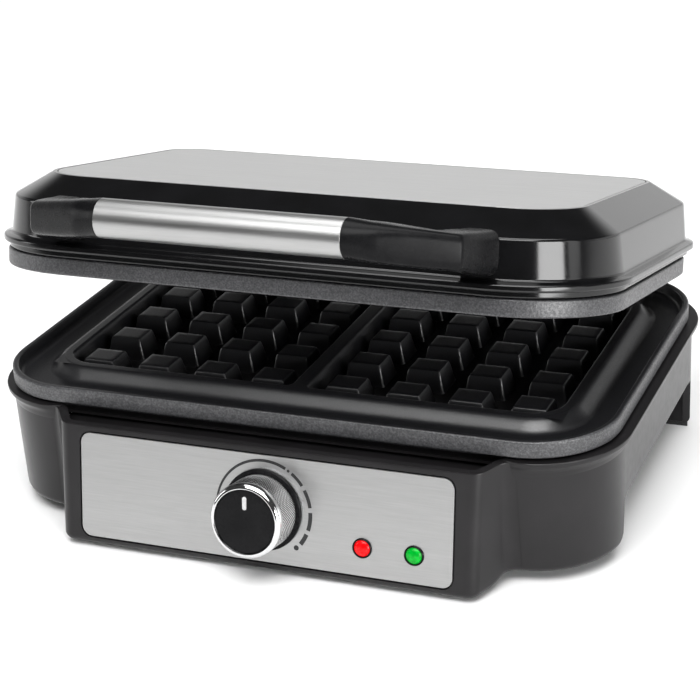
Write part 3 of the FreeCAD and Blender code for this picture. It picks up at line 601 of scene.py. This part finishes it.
# ---- cooking plates -----------------------------------------------------
PARTING_Z, UPPER_RIM_Z = 63.0, 63.4
PLATE_Y = 91.0
RIM_DEPTH, TROUGH_Z, CAVITY_Z = 8.6, -5.6, -13.0
CAVITY_X = (3.5, 112.0)             # inner and outer edge of each cavity
CAVITY_Y = 63.0
CAVITY_R, WEB_R = 13.0, 3.0
COLUMNS, ROWS = 4, 5
PITCH_X = (CAVITY_X[1] - CAVITY_X[0]) / COLUMNS
PITCH_Y = 2 * CAVITY_Y / ROWS
STUD_X, STUD_Y, STUD_R = 9.75, 8.75, 2.2
STUD_RISE, STUD_DRAFT = 11.0, 2.7
WALL_RISE, WALL_DRAFT = 12.55, 2.5


def plate_rings(profile, half_x, corner, up):
    """Rings round a plate from (inset, height) points; up(z) gives the height above the table."""
    rings = []
    for inset, z in profile:
        plan_r = corner - inset
        ring = rectangle(half_x - inset, inset - PLATE_Y, PLATE_Y - inset, plan_r, plan_r, 20)
        rings.append(level(ring, up(z)))
    return rings


def plate_edge(half_x, corner, up):
    """Cast outer face of a plate's rim."""
    profile = [(7.0, -RIM_DEPTH), (6.6, -7.6), (1.2, -7.2), (0.4, -7.0), (0.0, -6.5), (0.0, -0.9),
               (0.12, -0.45), (0.4, -0.12), (0.85, 0.0)]
    return skin(plate_rings(profile, half_x, corner, up))


def plate_trough(half_x, corner, up):
    """Coated inside of the rim, the overflow trough and the bank round the cavities."""
    rim = [(0.85, 0.0), (2.1, 0.0), (2.5, -0.15), (2.8, -0.6), (3.2, -3.8), (3.7, -4.8), (4.6, -5.4),
           (5.8, TROUGH_Z)]
    bank = [(11.6, TROUGH_Z), (10.6, -5.4), (9.6, -4.9), (8.6, -4.0), (7.4, -2.7), (6.2, -1.5),
            (5.2, -0.75), (4.3, -0.42), (3.4, -0.40), (0.9, -0.40), (0.8, -0.7)]
    rings = plate_rings(rim, half_x, corner, up)
    for grow, z in bank:
        far_y, plan_r = CAVITY_Y + grow, CAVITY_R + grow
        rings.append(level(rectangle(CAVITY_X[1] + grow, -far_y, far_y, plan_r, plan_r, 20), up(z)))
    return skin(rings)


def ramp_height(distance, run, rise, soft):
    """Height of a draft wall at a distance from its foot, eased at both ends."""
    def ease(t, e):
        if t < -e:
            return 0.0
        if t > e:
            return t
        return (t + e) ** 2 / (4 * e)
    return rise / run * (ease(distance, soft) - ease(distance - run, soft))


def waffle_height(x, y):
    """Height of the waffle face at a point, 0 at the parting plane."""
    ax = abs(x)
    radius = CAVITY_R if ax > 57 else WEB_R
    cx = max(CAVITY_X[0] - ax, ax - CAVITY_X[1]) + radius
    cy = abs(y) - CAVITY_Y + radius
    outside = min(max(cx, cy), 0.0) + math.hypot(max(cx, 0.0), max(cy, 0.0)) - radius
    wall = ramp_height(WALL_DRAFT + outside, WALL_DRAFT, WALL_RISE, 0.5)
    ux = STUD_X - abs((ax - CAVITY_X[0]) % PITCH_X - PITCH_X / 2)
    uy = STUD_Y - abs((y + CAVITY_Y) % PITCH_Y - PITCH_Y / 2)
    inside = min(ux, uy)
    if inside <= STUD_R:
        inside = min(inside, STUD_R - math.hypot(max(STUD_R - ux, 0.0), max(STUD_R - uy, 0.0)))
    stud = ramp_height(inside, STUD_DRAFT, STUD_RISE, 0.5) if outside < -2.6 else 0.0
    return CAVITY_Z + max(wall, stud)


def axis_lines(first, last, centres, half_foot, edges):
    """Grid lines along one axis, gathered at the foot and top edges of the studs."""
    offsets = (-0.9, -0.35, 0.2, 0.9, 1.8, 2.4, 2.9, 3.6, 5.2)
    lines = {first, last}
    for centre in centres:
        lines.add(centre)
        for offset in offsets:
            lines.add(centre - half_foot + offset)
            lines.add(centre + half_foot - offset)
    for edge, direction in edges:
        for offset in (-1.1, -0.6, -0.2, 0.2, 0.8, 1.6, 2.3, 2.8, 3.4, 4.5, 6.5, 9.0, 11.5):
            lines.add(edge + direction * offset)
    kept = []
    for value in sorted(lines):
        if first <= value <= last and (not kept or value - kept[-1] > 0.12):
            kept.append(value)
    return kept


def waffle_face(up):
    """Both cavities with their studs, as one height field."""
    reach_x, reach_y = CAVITY_X[1] + 3.2, CAVITY_Y + 3.2
    columns = [CAVITY_X[0] + (k + 0.5) * PITCH_X for k in range(COLUMNS)]
    rows = [-CAVITY_Y + (k + 0.5) * PITCH_Y for k in range(ROWS)]
    xs = axis_lines(0.0, reach_x, columns, STUD_X, [(CAVITY_X[0], 1), (CAVITY_X[1], -1)])
    xs = [-x for x in reversed(xs) if x > 0] + xs
    ys = axis_lines(-reach_y, reach_y, rows, STUD_Y, [(-CAVITY_Y, 1), (CAVITY_Y, -1)])
    verts = [(x, y, up(waffle_height(x, y))) for y in ys for x in xs]
    wide = len(xs)
    faces = [(j * wide + i, j * wide + i + 1, (j + 1) * wide + i + 1, (j + 1) * wide + i)
             for j in range(len(ys) - 1) for i in range(wide - 1)]
    return verts, faces


def make_plates():
    def lower(z):
        return PARTING_Z + z

    def upper(z):
        return UPPER_RIM_Z - z

    back = rectangle(128.0, 8.0 - PLATE_Y, PLATE_Y - 8.0, 27, 27)
    for name, node, body, place, up, half_x, corner in (
            ("lower_plate", "lower_cooking_plate", "base", at_base, lower, 136.5, 35.0),
            ("upper_plate", "upper_cooking_plate", "lid", at_lid, upper, 135.8, 43.0)):
        under = skin([level(back, up(-RIM_DEPTH)), level(back, up(CAVITY_Z - 2.0))], False, True)
        edge = build(name + "_cast_rim", place, [plate_edge(half_x, corner, up), under], 40.0)
        dress(edge, body, "nonstick", CAST, node)
        trough = build(name + "_trough", place, [plate_trough(half_x, corner, up)], 40.0)
        dress(trough, body, "nonstick", NONSTICK, node)
        face = build(name + "_waffle_face", place, [waffle_face(up)], 50.0, False)
        dress(face, body, "nonstick", NONSTICK, node)


# ---- lid ----------------------------------------------------------------
LID_X, LID_FRONT, LID_REAR = 132.3, -90.5, 89.0
LID_FRONT_R, LID_REAR_R = 42.0, 30.0
TOP_X, TOP_FRONT, TOP_REAR = 116.2, -69.1, 66.7         # the steel panel
TOP_FRONT_R, TOP_REAR_R = 24.0, 13.0
LID_WALL_TOP_Z, LID_TOP_Z = 93.2, 102.5
BEVEL = 20.0                        # u falls from 0 to minus this over the bevel
LAND = 2.0                          # black land round the steel panel


def lid_wall(grow, ahead):
    return rectangle(LID_X + grow, LID_FRONT - ahead, LID_REAR + ahead,
                     LID_FRONT_R + grow, LID_REAR_R + grow, 24)


def lid_top(grow):
    return rectangle(TOP_X + grow, TOP_FRONT - grow, TOP_REAR + grow,
                     TOP_FRONT_R + grow, TOP_REAR_R + grow, 24)


def lid_ring(u, z):
    """Lid outline: u >= 0 grows the wall's outline, u < 0 leans in over the bevel to the top."""
    if u >= 0:
        return level(lid_wall(u, u * 0.4 if u < 2.0 else u - 1.2), z)
    top = lid_top(LAND - max(-u - BEVEL, 0.0))
    return level(blend_rings(lid_wall(0.0, 0.0), top, min(-u / BEVEL, 1.0)), z)


def make_lid():
    inner = BEVEL + 1.6
    floor_z = LID_TOP_Z - 1.3
    profile = [(-5.0, 76.0), (-2.4, 71.6), (-2.0, 71.15), (0.4, 71.1), (3.0, 71.1), (3.0, 73.45),
               (5.5, 73.7), (5.5, 76.3), (1.95, 77.5), (0.0, LID_WALL_TOP_Z), (-BEVEL, LID_TOP_Z),
               (-inner, LID_TOP_Z), (-inner, floor_z), (-inner - 4.4, floor_z)]
    radii = [0, 0.2, 0.1, 0.3, 0.6, 0.2, 0.9, 0.9, 1.6, 1.7, 0.8, 0.25, 0.2, 0]
    rings = [lid_ring(u, z) for u, z in fillet(profile, radii, 6, False)]
    shell = build("lid_shell", at_lid, [skin(rings)])
    dress(shell, "lid", "gloss_black", GLOSS, "lid_housing")
    edge = [(0.3, 1.0), (0.0, 0.8), (0.0, 0.18), (0.06, 0.06), (0.2, 0.0)]
    sheet = [level(lid_top(-inset), LID_TOP_Z - drop) for inset, drop in edge]
    panel = build("lid_steel_panel", at_lid, [skin(sheet, False, True)], 25.0)
    dress(panel, "lid", "brushed_steel", PANEL_STEEL, "lid_top_panel")


# ---- handle -------------------------------------------------------------
HANDLE_Y, HANDLE_Z = -130.1, 94.6
TUBE_X, TUBE_R, GRIP_R = 51.0, 7.75, 7.8
SIXTHS = [k / 6 for k in range(1, 6)]


def grip_stations():
    """(outer point, inner point, low z, high z, squareness) along the right-hand grip."""
    outer = [(TUBE_X, HANDLE_Y - GRIP_R), (62.0, -133.6), (91.0, -116.9), (96.6, -91.0)]
    inner = [(TUBE_X, HANDLE_Y + GRIP_R), (60.0, -119.4), (77.2, -107.6), (80.2, -91.0)]
    outer = fillet(outer, [0, 30.0, 2.6, 0], 8, False, SIXTHS)
    inner = fillet(inner, [0, 20.0, 8.0, 0], 8, False, SIXTHS)
    stations = []
    for o, n in zip(outer, inner):
        squareness = mix(2.0, 4.4, smooth((o[0] - TUBE_X) / 30.0))
        back = smooth((o[1] + 117.0) / 26.0) if o[0] > 91 else 0.0
        droop = min((o[0] - TUBE_X) / 40.0, 1.0)
        high = HANDLE_Z + GRIP_R - 4.8 * droop - 1.0 * back
        low = HANDLE_Z - GRIP_R - 3.6 * droop - 4.4 * back
        stations.append((o, n, low, high, squareness))
    return stations


def grip_skin(side):
    """The grip's section is round at the tube and turns into a rounded bar at the lid."""
    rings = []
    count = 40
    for o, n, low, high, power in grip_stations():
        centre = ((o[0] + n[0]) / 2, (o[1] + n[1]) / 2)
        half = ((o[0] - n[0]) / 2, (o[1] - n[1]) / 2)
        middle, rise = (low + high) / 2, (high - low) / 2
        ring = []
        for k in range(count):
            a = 2 * math.pi * k / count
            c, s = math.cos(a), math.sin(a)
            u = math.copysign(abs(c) ** (2 / power), c)
            v = math.copysign(abs(s) ** (2 / power), s)
            ring.append((side * (centre[0] + half[0] * u), centre[1] + half[1] * u, middle + rise * v))
        rings.append(ring)
    return skin(rings, True, True)


def make_handle():
    for side, word in ((1, "right"), (-1, "left")):
        grip = build("handle_grip_" + word + "_moulding", at_lid, [grip_skin(side)], 50.0, False)
        dress(grip, "lid", "satin_black", SATIN, "handle_grip_" + word)
    end = [(TUBE_X - 0.2, TUBE_R), (TUBE_X, TUBE_R - 0.2), (TUBE_X, TUBE_R - 0.75)]
    rings = []
    for x, radius in [(-x, radius) for x, radius in reversed(end)] + end:
        rings.append([(x, y, z) for y, z in circle((HANDLE_Y, HANDLE_Z), radius, 96)])
    tube = build("handle_steel_tube", at_lid, [skin(rings)], 30.0)
    dress(tube, "lid", "brushed_steel", TUBE_STEEL_SHADED, "handle_tube")


# ---- control panel ------------------------------------------------------
LAMPS, LAMP_UP = (44.5, 66.5), 11.8
DIAL, DIAL_R = (1.4, 22.0), 21.4
INK = 0.05                          # thickness of the printed marks


def arc_band(inner, outer, start, end, steps):
    """Printed arc round the dial; clock angles in degrees, inner and outer are (start, end) radii."""
    rings = []
    for k in range(steps + 1):
        t = k / steps
        angle = math.radians(90 - mix(start, end, t))
        c, s = math.cos(angle), math.sin(angle)
        r0, r1 = mix(inner[0], inner[1], t), mix(outer[0], outer[1], t)
        rings.append([(DIAL[0] + r * c, DIAL[1] + r * s, w)
                      for r, w in ((r0, 0.0), (r1, 0.0), (r1, INK), (r0, INK))])
    return skin(rings, True, True)


def dot(x, up, radius):
    outline = circle((x, up), radius, 24)
    return skin([level(outline, 0.0), level(outline, INK)], True, True)


def make_panel():
    edge = [(0.15, -1.0), (0.0, -0.85), (0.0, -0.2), (0.06, -0.06), (0.2, 0.0)]
    sheet = [level(rectangle(PANEL_X - i, i, PANEL_UP - i, 4.5 - i, 4.5 - i, 10), w) for i, w in edge]
    panel = build("panel_steel_sheet", at_panel, [skin(sheet, True, True)], 25.0)
    dress(panel, "base", "brushed_steel", FRONT_STEEL_SHADED, "control_panel")
    marks = [arc_band((20.55, 20.1), (21.35, DIAL_R), -106, 27, 48)]
    for start, end, thick in ((36, 54, 1.35), (59.5, 80.5, 1.5), (86, 107.5, 1.7), (112.5, 127.0, 1.85)):
        marks.append(arc_band((DIAL_R - thick,) * 2, (DIAL_R, DIAL_R), start, end, 8))
    marks.append(dot(12.1, 39.7, 0.62))
    marks.append(dot(15.9, 7.9, 1.1))
    dress(build("dial_marks", at_panel, marks), "base", "satin_black", DARK_INK)


def knurl(angle, w):
    """Depth of the knurl's crossed grooves at a point of the skirt, zero or less."""
    u = angle * KNURLS / (2 * math.pi)
    v = w / KNURL_PITCH
    a = abs((u + v) % 1.0 - 0.5) * 2
    b = abs((u - v) % 1.0 - 0.5) * 2
    return -KNURL_DEPTH * (1 - min(1 - a, 1 - b) ** 0.8)


def knob_skirt():
    segments, rows = KNURLS * 8, 54
    low, high, end_r = 1.7, 14.0, 14.6
    rings = [level(circle(KNOB, end_r, segments), low - 0.2)]
    for i in range(rows + 1):
        w = mix(low, high, i / rows)
        ring = []
        for k in range(segments):
            angle = 2 * math.pi * k / segments
            radius = SKIRT_R + knurl(angle, w)
            ring.append((KNOB[0] + radius * math.cos(angle), KNOB[1] + radius * math.sin(angle), w))
        rings.append(ring)
    rings.append(level(circle(KNOB, end_r, segments), high + 0.2))
    return skin(rings, True, True)


def make_knob():
    skirt = build("knob_knurled_skirt", at_panel, [knob_skirt()], 60.0, False)
    dress(skirt, "knob", "chrome", KNURL, "knob_body")
    profile = [(KNOB_FACE_R, 12.4), (14.5, 12.4), (14.6, 14.1), (15.2, 14.15), (KNOB_R, 14.4), (KNOB_R, 15.9),
               (15.4, 16.5), (15.1, 17.1), (14.6, 17.6), (14.1, 17.85), (13.7, 17.9), (13.4, 17.8),
               (13.25, 17.5), (KNOB_FACE_R, 12.4)]
    bezel = build("knob_chrome_bezel", at_panel, [revolve(profile, KNOB, 96)], 25.0)
    dress(bezel, "knob", "chrome", CHROME, "knob_bezel")
    profile = [(0.01, 17.66), (6.0, 17.65), (12.0, 17.6), (12.9, 17.5), (13.15, 17.2), (13.15, 12.6)]
    face = build("knob_face", at_panel, [revolve(profile, KNOB, 96)], 25.0, False)
    dress(face, "knob", "satin_black", SATIN, "knob_cap")
    half_x, low, high = 0.9, KNOB[1] + 4.9, KNOB[1] + 10.4
    left, right = KNOB[0] - half_x, KNOB[0] + half_x
    pill = fillet([(left, low), (right, low), (right, high), (left, high)], [half_x - 0.01] * 4, 6)
    mark = skin([level(pill, 17.0), level(pill, 17.76)], True, True)
    pointer = build("knob_pointer_pill", at_panel, [mark])
    dress(pointer, "knob", "pointer_white", WHITE_INK, "knob_pointer")
    profile = [(14.0, 0.0), (17.1, 0.0), (17.1, 0.9), (16.8, 1.2), (14.0, 1.2)]
    seat = build("knob_seat_ring", at_panel, [revolve(profile, KNOB, 96)], 25.0)
    dress(seat, "base", "satin_black", SATIN, "knob_base_ring")


def make_lamps():
    dome = [(0.01, 1.5), (0.9, 1.45), (1.8, 1.28), (2.6, 0.98), (3.2, 0.55), (3.45, 0.2), (3.45, -0.9)]
    rim = [(3.5, -0.9), (3.5, 0.5), (3.6, 0.72), (3.85, 0.78), (4.1, 0.55), (4.2, 0.2), (4.2, 0.0)]
    for x, paint, word in ((LAMPS[0], RED, "red"), (LAMPS[1], GREEN, "green")):
        node = word + "_lamp_lens"
        lamp = build(node + "_dome", at_panel, [revolve(dome, (x, LAMP_UP), 48)], 30.0, False)
        dress(lamp, "base", word + "_lens", paint, node)
    rims = build("lamp_rims", at_panel, [revolve(rim, (x, LAMP_UP), 48) for x in LAMPS], 30.0, False)
    dress(rims, "base", "satin_black", SATIN, "lamp_bezels")


# ---- everything ---------------------------------------------------------
make_base()
make_plates()
make_lid()
make_handle()
make_panel()
make_knob()
make_lamps()
for node, body in (("hinge_bracket_right", "base"), ("hinge_bracket_left", "base"),
                   ("hinge_arm_right", "lid"), ("hinge_arm_left", "lid")):
    softened(node, 0.9, body, "satin_black", SATIN)

CAD_PAINT = {
    "satin_black": SATIN, "zinc_steel": ZINC, "heater_steel": HEATER, "inner_plastic": PALE,
    "rubber": RUBBER, "brushed_steel": PANEL_STEEL, "chrome": CHROME, "gloss_black": GLOSS,
    "nonstick": NONSTICK, "red_lens": RED, "green_lens": GREEN, "pointer_white": WHITE_INK,
}
for part in frame["record"]["subparts"]:
    node = frame["nodes"][part["node"]]
    node.data.materials.clear()
    node.data.materials.append(CAD_PAINT[part["material_slot"]])

# ---- stage --------------------------------------------------------------
FLOOR_REACH, FLOOR_BACK = 3.0, 2.2
corners = [(-FLOOR_REACH, -FLOOR_REACH, 0), (FLOOR_REACH, -FLOOR_REACH, 0),
           (FLOOR_REACH, FLOOR_BACK, 0), (-FLOOR_REACH, FLOOR_BACK, 0)]
floor_mesh = bpy.data.meshes.new("floor")
floor_mesh.from_pydata(corners, [], [(0, 1, 2, 3)])
floor = bpy.data.objects.new("floor", floor_mesh)
bpy.context.scene.collection.objects.link(floor)
floor_paint = Paint("pale_floor", Roughness=0.8, Specular_IOR_Level=0.2)
floor_paint.colours(floor_paint.noise(3.0, 2.0), 0.3, 0.7, (0.90, 0.90, 0.90), (0.92, 0.92, 0.92))
floor.data.materials.append(floor_paint.material)


def area_light(name, where, target, size, power):
    """White soft box at a place, facing a target; sizes in metres, power in watts."""
    data = bpy.data.lights.new(name, "AREA")
    data.shape = "RECTANGLE"
    data.size, data.size_y = size
    data.energy = power
    light = bpy.data.objects.new(name, data)
    light.location = where
    light.rotation_mode = "QUATERNION"
    light.rotation_quaternion = (Vector(target) - Vector(where)).to_track_quat("-Z", "Y")
    bpy.context.scene.collection.objects.link(light)


area_light("overhead", (0.0, 0.5, 2.6), (0.0, 0.3, 0.0), (2.4, 1.6), 50.0)
area_light("front_key", (0.2, -1.3, 2.2), (0.0, -0.05, 0.05), (2.4, 1.3), 75.0)
area_light("corner_box", (1.885, -1.37, 0.42), (0.05, -0.05, 0.08), (1.08, 0.85), 36.0)
area_light("left_strip", (-1.9, -0.5, 0.50), (0.0, 0.0, 0.08), (0.5, 0.8), 4.5)
area_light("right_strip", (2.0, -0.4, 0.6), (0.0, 0.0, 0.08), (0.5, 1.0), 3.0)

# The room: a bright backdrop low down behind, dark above and in front.
world = bpy.data.worlds.new("studio")
world.use_nodes = True
tree = world.node_tree
direction = tree.nodes.new("ShaderNodeTexCoord")
split = tree.nodes.new("ShaderNodeSeparateXYZ")
tree.links.new(direction.outputs["Generated"], split.inputs["Vector"])


def world_ramp(axis, low, high, out_low, out_high):
    """Smooth step along one axis of the view direction."""
    node = tree.nodes.new("ShaderNodeMapRange")
    node.interpolation_type = "SMOOTHSTEP"
    node.inputs["From Min"].default_value = low
    node.inputs["From Max"].default_value = high
    node.inputs["To Min"].default_value = out_low
    node.inputs["To Max"].default_value = out_high
    tree.links.new(split.outputs[axis], node.inputs["Value"])
    return node.outputs["Result"]


BACKDROP, ROOM = 0.95, 0.05
product = tree.nodes.new("ShaderNodeMath")
product.operation = "MULTIPLY"
tree.links.new(world_ramp("Z", 0.12, 0.42, 1.0, 0.0), product.inputs[0])
tree.links.new(world_ramp("Y", -0.1, 0.5, 0.0, 1.0), product.inputs[1])
total = tree.nodes.new("ShaderNodeMath")
total.operation = "MULTIPLY_ADD"
total.inputs[1].default_value = BACKDROP
total.inputs[2].default_value = ROOM
tree.links.new(product.outputs["Value"], total.inputs[0])
tree.links.new(total.outputs["Value"], tree.nodes["Background"].inputs["Strength"])
tree.nodes["Background"].inputs["Color"].default_value = (1.0, 1.0, 1.0, 1)
bpy.context.scene.world = world
bpy.context.scene.view_settings.view_transform = "Standard"

# ---- camera -------------------------------------------------------------
AZIMUTH, ELEVATION, ROLL = math.radians(23.380), math.radians(23.320), math.radians(-3.696)
TARGET = Vector((-0.001775, -0.00701, 0.05301))
DISTANCE = 0.8721
back = Vector((math.sin(AZIMUTH) * math.cos(ELEVATION), -math.cos(AZIMUTH) * math.cos(ELEVATION),
               math.sin(ELEVATION)))
camera_data = bpy.data.cameras.new("camera")
camera_data.lens = 100.64
camera_data.sensor_width = 36.0
camera_data.clip_start = 0.05
camera_data.clip_end = 40.0
camera = bpy.data.objects.new("camera", camera_data)
camera.location = TARGET + back * DISTANCE
camera.rotation_mode = "QUATERNION"
roll = Matrix.Rotation(ROLL, 3, "Z").to_quaternion()
camera.rotation_quaternion = (-back).to_track_quat("-Z", "Y") @ roll
bpy.context.scene.collection.objects.link(camera)
bpy.context.scene.camera = camera

bpy.context.view_layer.update()
